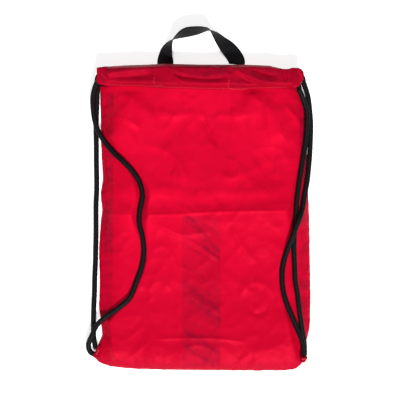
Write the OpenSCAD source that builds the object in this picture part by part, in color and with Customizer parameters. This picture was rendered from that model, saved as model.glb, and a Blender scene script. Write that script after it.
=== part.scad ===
// Drawstring backpack lying flat on its back: X to the right, Y towards the mouth, Z up.
// The origin is on the floor, under the middle of the sack and its handle.

/* [Sack] */
// Thickness of a panel
panel_t = 1.2; // [1:0.1:1.4]
// Width of the turned seam along each edge
seam_w = 5; // [4:0.5:6]
// Thickness of the turned seam
seam_t = 3.2; // [2.8:0.1:3.6]
// Height of the front panel over the bottom of the sack
crown_low = 11; // [9:0.5:12]

/* [Tunnel hem] */
// Thickness of the hem's cloth
hem_wall = 0.8; // [0.6:0.1:1]
// Gap between the two hems, where the sack opens
mouth_gap = 5.2; // [5:0.1:6]
// Place of the stitch line that closes the tunnels
hem_y = 172; // [170:1:173]

/* [Drawcord] */
// Diameter of the braided cord
cord_d = 8.4; // [7:0.1:8.4]
// Room left round the cord in its tunnel
cord_clear = 0.1; // [0.1:0.05:0.2]
// Radius of the bend where a cord turns out of its tunnel
cord_bend = 12; // [11:0.5:12]

/* [Handle] */
// Width of the handle webbing
web_w = 25.4; // [20:0.2:25.4]
// Thickness of the handle webbing
web_t = 1.6; // [1.2:0.1:1.8]
// Length of the webbing sewn behind the hem
foot_l = 35; // [30:1:36]

/* [Stitching] */
// Length of one stitch
stitch_l = 3.4; // [2:0.2:4]
// Distance from one stitch to the next
stitch_pitch = 5; // [4.5:0.5:8]
// Width of the thread
thread_w = 1; // [0.6:0.1:1.2]
// Height of the thread
thread_t = 0.4; // [0.3:0.1:0.5]

/* [Hidden] */
$fn = 48;

sack_red = "crimson";
hem_red = "firebrick";
thread_red = "indianred";
cord_black = [0.12, 0.11, 0.12];
web_black = [0.16, 0.15, 0.16];

far = 400;       // longer than the sack, for cuts that run right through
eps = 0.2;
stitch_sink = 0.02;

// Heights, from the floor up
cord_r = cord_d / 2;
back_run_z = web_t + hem_wall + cord_clear + cord_r;
back_top = back_run_z + cord_r + cord_clear + hem_wall;
front_low = back_top + mouth_gap;
front_run_z = front_low + hem_wall + cord_clear + cord_r;
front_top = front_run_z + cord_r + cord_clear + hem_wall;
crown_high = front_low + panel_t;

// The two places across the hem where a cord runs
upper_run_y = 196;
lower_run_y = 184;
run_gap_y = upper_run_y - lower_run_y;
run_gap_z = front_run_z - back_run_z;
bight_r = norm([run_gap_y, run_gap_z]) / 2;
arc_steps = 5;

// Ends of the straight runs
left_bight_x = -143.5;
right_bight_x = 140.5;
left_front_bend = [-150, upper_run_y];
left_back_bend = [-151.5, lower_run_y];
right_front_bend = [139, lower_run_y];
right_back_bend = [147, upper_run_y];
left_open_x = -145.5;
right_open_x = 138.5;

// Outline of the sack below the hem, anticlockwise from the top of the left seam
left_edge = [
    [-158, hem_y], [-158, 110], [-157, 69], [-155, 25], [-156, -18], [-161, -78],
    [-160, -126], [-161, -171], [-156, -212], [-162, -228]
];
left_corner = [[-171, -247], [-166, -252], [-158, -258]];
bottom_edge = [[-142, -263], [-82, -267.5], [-20, -269], [62, -269.5], [127, -269.5]];
right_corner = [[148, -267], [156, -260], [160, -254], [162, -247]];
right_edge = [
    [164, -226], [170, -194], [171, -161], [170, -100], [168, -10], [163, 137],
    [159, 152], [153, hem_y]
];
sack_outline = concat(left_edge, left_corner, bottom_edge, right_corner, right_edge);

// Outline of the hems above the stitch line
hem_outline = [
    [-161, hem_y], [-161, 182], [-163, 204], [-110, 208], [-57, 210], [68, 209], [105, 207],
    [127, 202], [140, 203], [153, 201], [158, 195], [158, 186], [153, hem_y]
];
front_hem_section = [
    [hem_y, front_low], [hem_y, crown_high], [180, front_top], [201, front_top],
    [208, front_low + 3], [211, front_low + 1.4], [211, front_low]
];
back_hem_section = [
    [hem_y, 0], [hem_y, panel_t], [179, back_top], [201, back_top], [208, 4], [211, 2], [211, 0]
];

// The crown is the outline drawn in towards the middle of the stitch line
crown_x = 5;
crown_scale = [0.79, 0.925];
rim_scale = [0.978, 0.992];
crown_l = 407;
crown_fall = (crown_high - crown_low) / crown_l;

// Corner tabs, each a block round the sewn ends of one cord
left_tab_outline = [[-162, -228], [-171, -247], [-164, -250.5], [-155, -231.5]];
right_tab_outline = [
    [154.5, -244.5], [165, -244.5], [164, -249], [160, -255], [154.5, -255]
];
left_tab_top = 9.2;
right_tab_top = 21.2;

// Handle: feet, and stations along the loop as [x, y, roll of the webbing]
left_foot_x = -57;
right_foot_x = 55;
foot_end_y = 209.8;
loop_stations = [
    [-57, 210.8, 0], [-57, 217, 12], [-56.5, 224, 30], [-54, 235, 48], [-48.5, 245, 72],
    [-39.5, 252.5, 95], [-25, 259.5, 116], [-8, 262.5, 112], [3, 264, 100], [11, 264, 88],
    [20, 258, 66], [31, 246, 42], [41, 236, 18], [49, 227, 8], [55, 217, 3], [55, 210.8, 0]
];
bartack_size = [19, 24];

// Stitch rows, each by its start and its length; the end rows close the ends of the hems
casing_row_x = -150;
casing_row_l = 300;
front_row_y = hem_y - 1.5;
back_row_y = hem_y - 4;
end_row_x = [-156, 150];
end_row_y = 181;
end_row_l = 19;

// Bartacks over the corner tabs: middle, direction and length of each
corner_bartack_w = 2;
left_corner_bartack_at = [-163, -240, 64.7];
left_corner_bartack_l = 14;
right_corner_bartack_at = [159.5, -249, 0];
right_corner_bartack_l = 7;

// Free legs of the drawcords, from the tunnel's end to the corner tab
left_front_route = [
    [-162.1, 181.9, 22], [-166, 172, 20.8], [-169, 158, 18.8], [-169, 142, 17],
    [-167, 124, 15.2], [-161, 105, 13.6], [-150, 87, 12.6], [-136, 71, 16.8], [-121, 57, 20.8],
    [-106, 41, 20.6], [-96, 24, 20.3], [-92, 4, 20], [-96, -18, 19.5], [-97, -38, 19.2],
    [-92, -60, 18.9], [-90, -82, 18.5], [-93, -105, 18.1], [-101, -128, 17.6],
    [-112, -154, 17.3], [-131, -171, 16.3], [-150, -184, 12.3], [-164, -198, 11.8],
    [-171, -213, 13.4], [-176.3, -225, 9.6], [-177, -234, 6], [-172.9, -241.4, 4.9]
];
left_back_route = [
    [-163.5, 171, 6.7], [-164, 152, 4.7], [-165, 129, 4.35], [-165.5, 106, 4.35],
    [-165, 83, 4.35], [-165, 60, 4.35], [-164.5, 37, 4.35], [-164.5, 14, 4.35],
    [-165.5, -9, 4.35], [-165.5, -32, 4.35], [-165.5, -55, 4.35], [-166, -78, 4.35],
    [-166.5, -101, 4.35], [-167.5, -124, 4.35], [-168, -147, 4.35], [-169, -170, 4.35],
    [-169.5, -192, 4.35], [-169.5, -211, 4.35], [-167.6, -222, 4.8], [-166.2, -229.5, 4.9]
];
right_front_route = [
    [151, 169.6, 22.1], [155, 162, 19.3], [160, 150, 14.2], [164.5, 134, 11.5],
    [164.5, 112, 10.4], [162.5, 90, 9.9], [159, 67, 11.3], [155, 44, 13.2], [151.5, 22, 14.6],
    [148.5, 0, 15.5], [147, -22, 15.7], [145.5, -42, 15.9], [144, -62, 16.1], [144, -84, 16.3],
    [145, -106, 15.9], [146, -128, 15.3], [149.5, -149, 14.4], [152, -170, 13.4],
    [155, -191, 12.4], [158, -210, 10.8], [160.5, -226, 9.2], [161, -243.5, 8.2]
];
right_back_route = [
    [159, 182.4, 6.7], [163, 172, 5.5], [167, 158, 4.6], [169.5, 138, 4.35], [171, 116, 4.35],
    [170.5, 94, 4.4], [169.5, 72, 5.5], [167.5, 50, 8], [165, 28, 9.2], [161, 6, 11],
    [157, -16, 15.8], [154, -25, 21.5], [149.5, -36, 24.5], [141.5, -57, 24.8],
    [133, -80, 20.9], [127, -101, 18.2], [125, -122, 17.8], [127, -144, 17.4],
    [133, -165, 17.1], [141, -184, 16.2], [148, -201, 15.8], [154.5, -216, 17.9],
    [158.5, -230, 17.8], [160, -243.5, 17]
];
cord_sides = 8;

function flipped(list) = [for (i = [len(list) - 1:-1:0]) list[i]];
function moved(list, step) = [for (p = list) p + step];
function crown_z(y) = crown_high - crown_fall * (hem_y - y);
function drawn_in(p, scale) = [crown_x + (p.x - crown_x) * scale.x, hem_y + (p.y - hem_y) * scale.y];

// Unit tangent at a point of a route
function unit(v) = v / norm(v);
function tangent(route, i) =
    unit(route[min(i + 1, len(route) - 1)] - route[max(i - 1, 0)]);
// Quads between neighbouring rings, and the two end caps, of a swept solid
function tube_faces(rings, sides) = concat(
    [[for (k = [0:sides - 1]) k]],
    [for (i = [0:rings - 2], k = [0:sides - 1]) [
        i * sides + k, (i + 1) * sides + k,
        (i + 1) * sides + (k + 1) % sides, i * sides + (k + 1) % sides
    ]],
    [[for (k = [sides - 1:-1:0]) (rings - 1) * sides + k]]
);

module swept_cord(route) {
    points = [
        for (i = [0:len(route) - 1])
            let (t = tangent(route, i), side = unit(cross(t, [0, 0, 1])), up = cross(side, t))
            for (k = [0:cord_sides - 1])
                let (a = 360 * (k + 0.5) / cord_sides)
                route[i] + cord_r * (cos(a) * side + sin(a) * up)
    ];
    polyhedron(points, tube_faces(len(route), cord_sides), convexity = 8);
}

// Quarter turn between along X and down Y, from one angle to another about its centre
function turn_arc(end, z, from, to) = [
    for (i = [0:arc_steps])
        let (a = from + (to - from) * i / arc_steps)
        [end.x + cord_bend * cos(a), end.y - cord_bend + cord_bend * sin(a), z]
];
// Half turn from the front tunnel to the back one; side is -1 at the left end, 1 at the right
function bight_arc(x, side) = [
    for (i = [0:2 * arc_steps])
        let (a = 90 * i / arc_steps)
        [
            x + side * bight_r * sin(a),
            (upper_run_y + lower_run_y + side * run_gap_y * cos(a)) / 2,
            (front_run_z + back_run_z + run_gap_z * cos(a)) / 2
        ]
];

// A closed dome: a rim at one height, drawn in to a sloping crown
module dome(rim, crown, rim_z, drop, top_shift) {
    n = len(rim);
    points = concat(
        [for (p = rim) [p.x, p.y + (p.y >= hem_y ? top_shift : 0), rim_z]],
        [for (p = crown) [p.x, p.y + (p.y >= hem_y ? top_shift : 0), crown_z(p.y) - drop]]
    );
    sides = [
        for (i = [0:n - 1], half = [0, 1])
            let (j = (i + 1) % n)
            half == 0 ? [i, i + n, j + n] : [i, j + n, j]
    ];
    polyhedron(
        points,
        concat([[for (i = [0:n - 1]) i]], sides, [[for (i = [n - 1:-1:0]) i + n]]),
        convexity = 6
    );
}

// A turned seam: an edge and the same edge moved inwards
module seam_strip(edge, step) {
    linear_extrude(seam_t) polygon(concat(edge, flipped(moved(edge, step))));
}

module left_tab_block() {
    linear_extrude(left_tab_top) polygon(left_tab_outline);
}

module right_tab_block() {
    linear_extrude(right_tab_top) polygon(right_tab_outline);
}

module tab_blocks() {
    left_tab_block();
    right_tab_block();
}

// A row of stitches along X
module stitch_row(length) {
    count = floor(length / stitch_pitch);
    for (i = [0:count - 1])
        translate([i * stitch_pitch, -thread_w / 2, 0])
            cube([stitch_l, thread_w, thread_t]);
}

// Groove that a row of stitches sinks into on the underside
module stitch_groove(length) {
    translate([-1, -thread_w / 2, -eps]) cube([length + 2, thread_w, thread_t + eps]);
}

module back_row_place() {
    translate([casing_row_x, back_row_y, 0]) children();
}

module end_row_places(z) {
    for (x = end_row_x)
        translate([x, end_row_y, z]) rotate([0, 0, 90]) children();
}

module back_panel() {
    inner = concat(
        moved(left_edge, [seam_w, 0]), [[-150, -253]], moved(bottom_edge, [0, seam_w]),
        [[148, -261], [157, -244]], moved(right_edge, [-seam_w, 0])
    );
    color(sack_red) difference() {
        linear_extrude(panel_t) polygon(inner);
        tab_blocks();
        back_row_place() stitch_groove(casing_row_l);
    }
}

module front_panel() {
    crown = [for (p = sack_outline) drawn_in(p, crown_scale)];
    rim_in = [for (p = sack_outline) drawn_in(p, rim_scale)];
    color(sack_red) difference() {
        dome(sack_outline, crown, seam_t, 0, 0);
        dome(rim_in, crown, seam_t - eps, panel_t, 1);
        tab_blocks();
    }
}

module left_side_seam() {
    color(sack_red) seam_strip(left_edge, [seam_w, 0]);
}

module right_side_seam() {
    color(sack_red) difference() {
        seam_strip(right_edge, [-seam_w, 0]);
        tab_blocks();
    }
}

module bottom_seam() {
    edge = concat([left_corner[1], left_corner[2]], bottom_edge, [right_corner[0], right_corner[1]]);
    color(sack_red) difference() {
        seam_strip(edge, [0, seam_w]);
        tab_blocks();
    }
}

// A hem: its cross-section run along X, trimmed to the hem's outline
module hem_body(section) {
    intersection() {
        rotate([90, 0, 90])
            translate([0, 0, -far / 2])
            linear_extrude(far) polygon(section);
        linear_extrude(far) polygon(hem_outline);
    }
}

// The room for the two cords, and the open ends where they turn out
module tunnel(low, high, open_low, open_high) {
    slot_low = lower_run_y - cord_r - cord_clear;
    slot_w = run_gap_y + cord_d + 2 * cord_clear;
    translate([-far / 2, slot_low, low]) cube([far, slot_w, high - low]);
    translate([-far / 2, slot_low - far / 4, open_low])
        cube([far / 2 + left_open_x, slot_w + far / 4, open_high - open_low]);
    translate([right_open_x, slot_low - far / 4, open_low])
        cube([far / 2, slot_w + far / 4, open_high - open_low]);
}

module foot_places() {
    for (x = [left_foot_x, right_foot_x])
        translate([x - web_w / 2, foot_end_y - foot_l, 0]) children();
}

module front_casing() {
    color(hem_red) difference() {
        hem_body(front_hem_section);
        tunnel(front_low + hem_wall, front_top - hem_wall, front_low - eps, front_top - hem_wall);
    }
}

module back_casing() {
    color(hem_red) difference() {
        hem_body(back_hem_section);
        difference() {
            tunnel(hem_wall, back_top - hem_wall, hem_wall, back_top + eps);
            foot_places() translate([-hem_wall, -hem_wall, 0])
                cube([web_w + 2 * hem_wall, foot_l + far, web_t + hem_wall]);
        }
        foot_places() translate([0, 0, -eps]) cube([web_w, foot_l + far, web_t + eps]);
        end_row_places(0) stitch_groove(end_row_l);
    }
}

module front_casing_stitching() {
    color(thread_red) translate([casing_row_x, front_row_y, crown_high - stitch_sink])
        stitch_row(casing_row_l);
}

module back_casing_stitching() {
    color(thread_red) back_row_place() stitch_row(casing_row_l);
}

module front_end_stitching() {
    color(thread_red) end_row_places(front_top) stitch_row(end_row_l);
}

module back_end_stitching() {
    color(thread_red) end_row_places(0) stitch_row(end_row_l);
}

// Ring of stitches that fixes one foot of the handle
module bartack_ring(depth) {
    translate([web_w / 2, foot_l / 2, 0]) difference() {
        translate([-bartack_size.x / 2, -bartack_size.y / 2, 0])
            cube([bartack_size.x, bartack_size.y, depth]);
        translate([thread_w - bartack_size.x / 2, thread_w - bartack_size.y / 2, -eps])
            cube([bartack_size.x - 2 * thread_w, bartack_size.y - 2 * thread_w, depth + 2 * eps]);
    }
}

module foot(x) {
    translate([x - web_w / 2, foot_end_y - foot_l, 0]) difference() {
        cube([web_w, foot_l, web_t]);
        translate([0, 0, -eps]) bartack_ring(thread_t + eps);
    }
}

module bartack(x) {
    translate([x - web_w / 2, foot_end_y - foot_l, 0]) bartack_ring(thread_t);
}

module handle_left_foot() {
    color(web_black) foot(left_foot_x);
}

module handle_right_foot() {
    color(web_black) foot(right_foot_x);
}

module handle_left_bartack() {
    color(cord_black) bartack(left_foot_x);
}

module handle_right_bartack() {
    color(cord_black) bartack(right_foot_x);
}

// Webbing loop: a flat section carried along the stations and rolled about their line
module handle_loop() {
    plan = [for (s = loop_stations) [s.x, s.y, 0]];
    points = [
        for (i = [0:len(plan) - 1])
            let (
                roll = loop_stations[i].z,
                t = tangent(plan, i),
                inward = cross(t, [0, 0, 1]),
                across = cos(roll) * inward + sin(roll) * [0, 0, 1],
                through = cross(across, t),
                lift = (web_w * abs(sin(roll)) + web_t * abs(cos(roll))) / 2,
                centre = plan[i] + [0, 0, lift]
            )
            for (c = [[-1, -1], [1, -1], [1, 1], [-1, 1]])
                centre + across * c.x * web_w / 2 + through * c.y * web_t / 2
    ];
    color(web_black) polyhedron(points, tube_faces(len(plan), 4), convexity = 8);
}

module left_corner_tab() {
    color(hem_red) left_tab_block();
}

module right_corner_tab() {
    color(hem_red) right_tab_block();
}

// A bar of close stitches on top of a corner tab
module corner_bartack(at, length, top) {
    color(thread_red) translate([at.x, at.y, top]) rotate([0, 0, at.z])
        translate([-length / 2, -corner_bartack_w / 2, 0])
        cube([length, corner_bartack_w, thread_t]);
}

module left_corner_bartack() {
    corner_bartack(left_corner_bartack_at, left_corner_bartack_l, left_tab_top);
}

module right_corner_bartack() {
    corner_bartack(right_corner_bartack_at, right_corner_bartack_l, right_tab_top);
}

module left_cord_tunnel_run() {
    color(cord_black) swept_cord(concat(
        turn_arc(left_front_bend, front_run_z, 180, 90),
        bight_arc(right_bight_x, 1),
        turn_arc(left_back_bend, back_run_z, 90, 180)
    ));
}

module right_cord_tunnel_run() {
    color(cord_black) swept_cord(concat(
        turn_arc(right_front_bend, front_run_z, 0, 90),
        bight_arc(left_bight_x, -1),
        turn_arc(right_back_bend, back_run_z, 90, 0)
    ));
}

module left_cord_front_leg() {
    color(cord_black) swept_cord(left_front_route);
}

module left_cord_back_leg() {
    color(cord_black) swept_cord(left_back_route);
}

module right_cord_front_leg() {
    color(cord_black) swept_cord(right_front_route);
}

module right_cord_back_leg() {
    color(cord_black) swept_cord(right_back_route);
}

back_panel();
front_panel();
left_side_seam();
right_side_seam();
bottom_seam();
front_casing();
back_casing();
front_casing_stitching();
back_casing_stitching();
front_end_stitching();
back_end_stitching();
handle_loop();
handle_left_foot();
handle_right_foot();
handle_left_bartack();
handle_right_bartack();
left_corner_tab();
right_corner_tab();
left_corner_bartack();
right_corner_bartack();
left_cord_tunnel_run();
right_cord_tunnel_run();
left_cord_front_leg();
left_cord_back_leg();
right_cord_front_leg();
right_cord_back_leg();
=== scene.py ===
"""Drawstring backpack lying flat: cloth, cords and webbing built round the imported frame."""
import math

import bmesh
import bpy
import numpy as np
from bpy.props import FloatProperty, FloatVectorProperty, IntProperty, PointerProperty
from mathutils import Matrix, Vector
from mathutils.bvhtree import BVHTree


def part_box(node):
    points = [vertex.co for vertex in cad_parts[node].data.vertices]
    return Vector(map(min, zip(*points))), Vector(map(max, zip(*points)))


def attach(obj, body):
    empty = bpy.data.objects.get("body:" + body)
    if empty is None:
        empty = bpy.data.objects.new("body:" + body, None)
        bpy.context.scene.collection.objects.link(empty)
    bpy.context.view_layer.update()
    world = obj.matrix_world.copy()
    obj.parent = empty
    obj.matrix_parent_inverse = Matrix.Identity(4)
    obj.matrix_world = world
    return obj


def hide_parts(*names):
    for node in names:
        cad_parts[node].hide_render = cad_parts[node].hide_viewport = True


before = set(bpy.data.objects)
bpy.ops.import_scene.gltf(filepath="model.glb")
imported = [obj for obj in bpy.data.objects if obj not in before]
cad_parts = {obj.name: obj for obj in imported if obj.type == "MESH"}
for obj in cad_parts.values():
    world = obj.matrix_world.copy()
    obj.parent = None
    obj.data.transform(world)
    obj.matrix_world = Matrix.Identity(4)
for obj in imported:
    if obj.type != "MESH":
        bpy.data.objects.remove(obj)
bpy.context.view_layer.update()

bl_info = {
    "name": "Drawstring backpack",
    "version": (1, 0, 0),
    "blender": (4, 5, 0),
    "location": "View3D > Sidebar > Sack",
    "description": "Builds a flat drawstring sack with its cords, hems and carry handle",
    "category": "Object",
}

MM = 0.001
HEM_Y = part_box("front_casing")[0].y
HEM_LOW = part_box("front_casing")[0].z
HEM_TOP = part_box("front_casing")[1].z
BACK_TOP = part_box("back_casing")[1].z
FLOOR_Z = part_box("back_panel")[0].z
HANDLE_FOOT = {side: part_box(f"handle_{side}_foot") for side in ("left", "right")}
WEB_W = HANDLE_FOOT["left"][1].x - HANDLE_FOOT["left"][0].x
WEB_T = HANDLE_FOOT["left"][1].z - HANDLE_FOOT["left"][0].z

# The tunnels, in millimetres: the cords' turn at the hem's ends, the two runs along Y and
# their heights, the slack of the hem over them, and the span along X where they are shut
BEND = 12.0
UPPER_RUN = 196.0
LOWER_RUN = 184.0
FRONT_RUN_Z = 22.1
BACK_RUN_Z = 6.7
HEM_SLACK = 1.6
TUNNEL_SHUT = (-145.0, 138.0)

# Light given off by the floor
FLOOR_GLOW = 0.42


def metres(name, description, default, low, high):
    return FloatProperty(
        name=name, description=description, default=default, min=low, max=high, unit="LENGTH")


def tint(name, description, default):
    return FloatVectorProperty(
        name=name, description=description, default=default, subtype="COLOR", size=3,
        min=0, max=1)


class SackSizes(bpy.types.PropertyGroup):
    cord_diameter: metres(
        "Cord diameter", "Diameter of the braided drawcord", 0.0084, 0.003, 0.012)
    strand_pitch: metres(
        "Strand pitch", "Length along the cord of one strand of the braid", 0.0042, 0.002, 0.01)
    strand_relief: metres(
        "Strand relief", "Height of a strand over the gaps between strands", 0.00042, 0.0, 0.001)
    puff: metres(
        "Puff", "Height of the front cloth in the middle of the sack", 0.0145, 0.006, 0.02)
    puff_width: metres(
        "Puff width", "Distance from a seam over which the cloth rises", 0.052, 0.02, 0.09)
    cloth: metres(
        "Cloth thickness", "Thickness of the woven nylon", 0.0005, 0.0002, 0.001)
    pucker: metres(
        "Seam pucker", "Height of the gathers beside a seam", 0.0013, 0.0, 0.004)
    stitch: metres(
        "Stitch length", "Length of one stitch", 0.0030, 0.001, 0.006)
    stitch_pitch: metres(
        "Stitch pitch", "Distance from one stitch to the next", 0.0042, 0.002, 0.008)
    thread: metres(
        "Thread", "Diameter of the sewing thread", 0.0008, 0.0003, 0.0015)
    rings_per_strand: IntProperty(
        name="Rings per strand", description="Rings of the cord's mesh for each strand",
        default=5, min=3, max=8)


class SackColours(bpy.types.PropertyGroup):
    nylon: tint(
        "Nylon", "Red of the woven nylon",
        (0.590, 0.0016, 0.0235))
    # This red also paints the shade towards the bottom of the sack.
    nylon_deep_and_shade: tint(
        "Nylon, deep", "Red of the nylon where the dye is deepest",
        (0.505, 0.0010, 0.0190))
    # This dull red also paints the shade along the bottom seam and on the back hem.
    tonal_print_and_shade: tint(
        "Tonal print", "Dull red of the printed bands",
        (0.255, 0.0026, 0.0180))
    thread: tint(
        "Red thread", "Red of the sewing thread",
        (0.740, 0.0450, 0.0950))
    cord: tint(
        "Cord", "Black of the braided cord",
        (0.0026, 0.0023, 0.0026))
    webbing: tint(
        "Webbing", "Black of the handle's webbing",
        (0.0036, 0.0030, 0.0042))
    floor: tint(
        "Floor", "Pale floor under the sack",
        (0.95, 0.95, 0.95))


# Routes of the four free legs of the drawcords, in millimetres, as in the CAD source
CORD_ROUTES = {
    "left_front": [
        (-162.1, 181.9, 22), (-166, 172, 20.8), (-169, 158, 18.8), (-169, 142, 17),
        (-167, 124, 15.2), (-161, 105, 13.6), (-150, 87, 12.6), (-136, 71, 16.8), (-121, 57, 20.8),
        (-106, 41, 20.6), (-96, 24, 20.3), (-92, 4, 20), (-96, -18, 19.5), (-97, -38, 19.2),
        (-92, -60, 18.9), (-90, -82, 18.5), (-93, -105, 18.1), (-101, -128, 17.6),
        (-112, -154, 17.3), (-131, -171, 16.3), (-150, -184, 12.3), (-164, -198, 11.8),
        (-171, -213, 13.4), (-176.3, -225, 9.6), (-177, -234, 6), (-173.8, -240.5, 4.9),
        (-168.5, -243.5, 4.8),
    ],
    "left_back": [
        (-163.5, 171, 6.7), (-164, 152, 4.7), (-165, 129, 4.35), (-165.5, 106, 4.35),
        (-165, 83, 4.35), (-165, 60, 4.35), (-164.5, 37, 4.35), (-164.5, 14, 4.35),
        (-165.5, -9, 4.35), (-165.5, -32, 4.35), (-165.5, -55, 4.35), (-166, -78, 4.35),
        (-166.5, -101, 4.35), (-167.5, -124, 4.35), (-168, -147, 4.35), (-169, -170, 4.35),
        (-169.5, -192, 4.35), (-169.5, -211, 4.35), (-168.4, -222, 4.8), (-166.9, -230, 4.9),
        (-164.8, -235, 4.9),
    ],
    "right_front": [
        (151, 169.6, 22.1), (155, 162, 19.3), (160, 150, 14.2), (164.5, 134, 11.5),
        (164.5, 112, 10.4), (162.5, 90, 9.9), (159, 67, 11.3), (155, 44, 13.2), (151.5, 22, 14.6),
        (148.5, 0, 15.5), (147, -22, 15.7), (145.5, -42, 15.9), (144, -62, 16.1), (144, -84, 16.3),
        (145, -106, 15.9), (146, -128, 15.3), (149.5, -149, 14.4), (152, -170, 13.4),
        (155, -191, 12.4), (158, -210, 10.8), (160.5, -226, 9.2), (161, -243.5, 8.2),
    ],
    "right_back": [
        (159, 182.4, 6.7), (163, 172, 5.5), (167, 158, 4.6), (169.5, 138, 4.35), (171, 116, 4.35),
        (170.5, 94, 4.4), (169.5, 72, 5.5), (167.5, 50, 8), (165, 28, 9.2), (161, 6, 11),
        (157, -16, 15.8), (154, -25, 21.5), (149.5, -36, 24.5), (141.5, -57, 24.8),
        (133, -80, 20.9), (127, -101, 18.2), (125, -122, 17.8), (127, -144, 17.4),
        (133, -165, 17.1), (141, -184, 16.2), (148, -201, 15.8), (154.5, -216, 17.9),
        (158.5, -230, 17.8), (160, -243.5, 17),
    ],
}

# Edges of the cloth, in millimetres: the sides as (y, x), the bottom and the hem's edges as (x, y)
LEFT_SIDE = [
    (-270, -171), (-247, -171), (-228, -162), (-214, -156), (-189, -158.5), (-171, -161),
    (-126, -160), (-78, -161), (-33, -158), (-18, -156), (8, -158.5), (30, -155), (69, -157),
    (91, -158), (133, -158.5), (166, -159.4), (173, -160.5),
]
RIGHT_SIDE = [
    (-270, 162), (-248, 162), (-224, 164), (-215, 167), (-194, 170), (-161, 171), (-100, 170),
    (-48, 169), (-9, 168), (137, 163), (152, 159), (173, 152.5),
]
BOTTOM = [
    (-171, -247), (-166, -251.5), (-159, -257), (-142, -263), (-118, -266), (-82, -267.5),
    (-35, -268.6), (62, -269.5), (127, -269.5), (140, -268), (148, -266.5), (156, -260),
    (160, -254), (162, -248), (172, -248),
]
HEM_UPPER = [
    (-163, 203), (-140, 206), (-118, 207.5), (-90, 208.3), (-57, 210), (-3, 208.6),
    (68, 208.4), (105, 207), (127, 201.5), (133, 201.5), (140, 203), (149, 202.5),
    (155, 200), (158, 195),
]
HEM_LOWER = [
    (-163, 184), (-160, 178), (-152, 175.5), (-100, 174), (-50, 171.5), (20, 169.5), (60, 170),
    (146, 172), (152, 175), (158, 186),
]


# ---------------------------------------------------------------- numbers and curves

def along(pairs, at):
    """The second value of a list of pairs, read at the first, in millimetres."""
    table = np.array(pairs, float)
    return np.interp(at, table[:, 0], table[:, 1])


def smooth_step(t):
    t = np.clip(t, 0.0, 1.0)
    return t * t * (3 - 2 * t)


def smooth_min(a, b, soft):
    """The lower of two surfaces, with the corner between them rounded."""
    h = np.clip(0.5 + 0.5 * (b - a) / soft, 0, 1)
    return b * (1 - h) + a * h - soft * h * (1 - h)


def soft_noise(x, y, size, seed):
    """Smooth noise from -1 to 1 over a plane, with bumps of the given size."""
    cells = 160
    grid = np.random.default_rng(seed).uniform(-1, 1, (cells, cells))
    u, v = x / size + cells / 2, y / size + cells / 2
    iu, iv = np.floor(u).astype(int), np.floor(v).astype(int)
    fu, fv = smooth_step(u - iu), smooth_step(v - iv)
    at = lambda i, j: grid[i % cells, j % cells]
    low = at(iu, iv) * (1 - fu) + at(iu + 1, iv) * fu
    high = at(iu, iv + 1) * (1 - fu) + at(iu + 1, iv + 1) * fu
    return low * (1 - fv) + high * fv


def spline(points, step):
    """Points a step apart along a smooth curve through the given ones."""
    p = np.array(points, float)
    p = np.vstack([2 * p[0] - p[1], p, 2 * p[-1] - p[-2]])
    curve = []
    for i in range(1, len(p) - 2):
        a, b, c, d = p[i - 1], p[i], p[i + 1], p[i + 2]
        for t in np.linspace(0, 1, 24, endpoint=False):
            curve.append(0.5 * (
                2 * b + (c - a) * t + (2 * a - 5 * b + 4 * c - d) * t ** 2
                + (3 * b - a - 3 * c + d) * t ** 3))
    curve.append(p[-2])
    curve = np.array(curve)
    run = np.concatenate([[0], np.cumsum(np.linalg.norm(np.diff(curve, axis=0), axis=1))])
    count = max(2, int(round(run[-1] / step)) + 1)
    at = np.linspace(0, run[-1], count)
    return np.column_stack([np.interp(at, run, curve[:, k]) for k in range(curve.shape[1])])


def frames_along(points):
    """Tangent, side and up vectors at each point of a curve that never runs straight up."""
    t = np.gradient(points, axis=0)
    t /= np.linalg.norm(t, axis=1)[:, None]
    side = np.cross(t, [0, 0, 1])
    side /= np.linalg.norm(side, axis=1)[:, None]
    return t, side, np.cross(side, t)


# ---------------------------------------------------------------- meshes

def clean_selection():
    if bpy.context.object and bpy.context.object.mode != "OBJECT":
        bpy.ops.object.mode_set(mode="OBJECT")
    bpy.ops.object.select_all(action="DESELECT")


def activate(piece):
    clean_selection()
    piece.select_set(True)
    bpy.context.view_layer.objects.active = piece


def mesh_piece(name, points, faces, uvs=None):
    """A new object from points in metres and faces; uvs has one pair for each point."""
    mesh = bpy.data.meshes.new(name)
    mesh.from_pydata([tuple(p) for p in points], [], [tuple(f) for f in faces])
    mesh.update()
    if uvs is not None:
        layer = mesh.uv_layers.new(name="UVMap")
        corner = np.empty(len(mesh.loops), int)
        mesh.loops.foreach_get("vertex_index", corner)
        layer.data.foreach_set("uv", np.asarray(uvs, np.float32)[corner].ravel())
    piece = bpy.data.objects.new(name, mesh)
    bpy.context.scene.collection.objects.link(piece)
    mesh.polygons.foreach_set("use_smooth", [True] * len(mesh.polygons))
    return piece


def grid_faces(rows, columns, closed=False):
    """Quads of a grid of points, laid out row by row, with the rows closed into rings or not."""
    last = columns if closed else columns - 1
    return [
        (i * columns + j, i * columns + (j + 1) % columns,
         (i + 1) * columns + (j + 1) % columns, (i + 1) * columns + j)
        for i in range(rows - 1) for j in range(last)
    ]


def tube_faces(rows, ring):
    """Quads of a tube of rings, and a face on each of its ends."""
    faces = grid_faces(rows, ring, closed=True)
    faces.append(tuple(range(ring))[::-1])
    faces.append(tuple(range((rows - 1) * ring, rows * ring)))
    return faces


def apply_modifier(piece, kind, **settings):
    activate(piece)
    modifier = piece.modifiers.new(kind.lower(), kind)
    for key, value in settings.items():
        setattr(modifier, key, value)
    bpy.ops.object.modifier_apply(modifier=modifier.name)


def thicken(piece, thickness, offset=-1.0):
    apply_modifier(piece, "SOLIDIFY", thickness=thickness, offset=offset, use_even_offset=False)


def point_attribute(piece, name, values):
    layer = piece.data.attributes.new(name, "FLOAT", "POINT")
    layer.data.foreach_set("value", np.asarray(values, np.float32))


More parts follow.
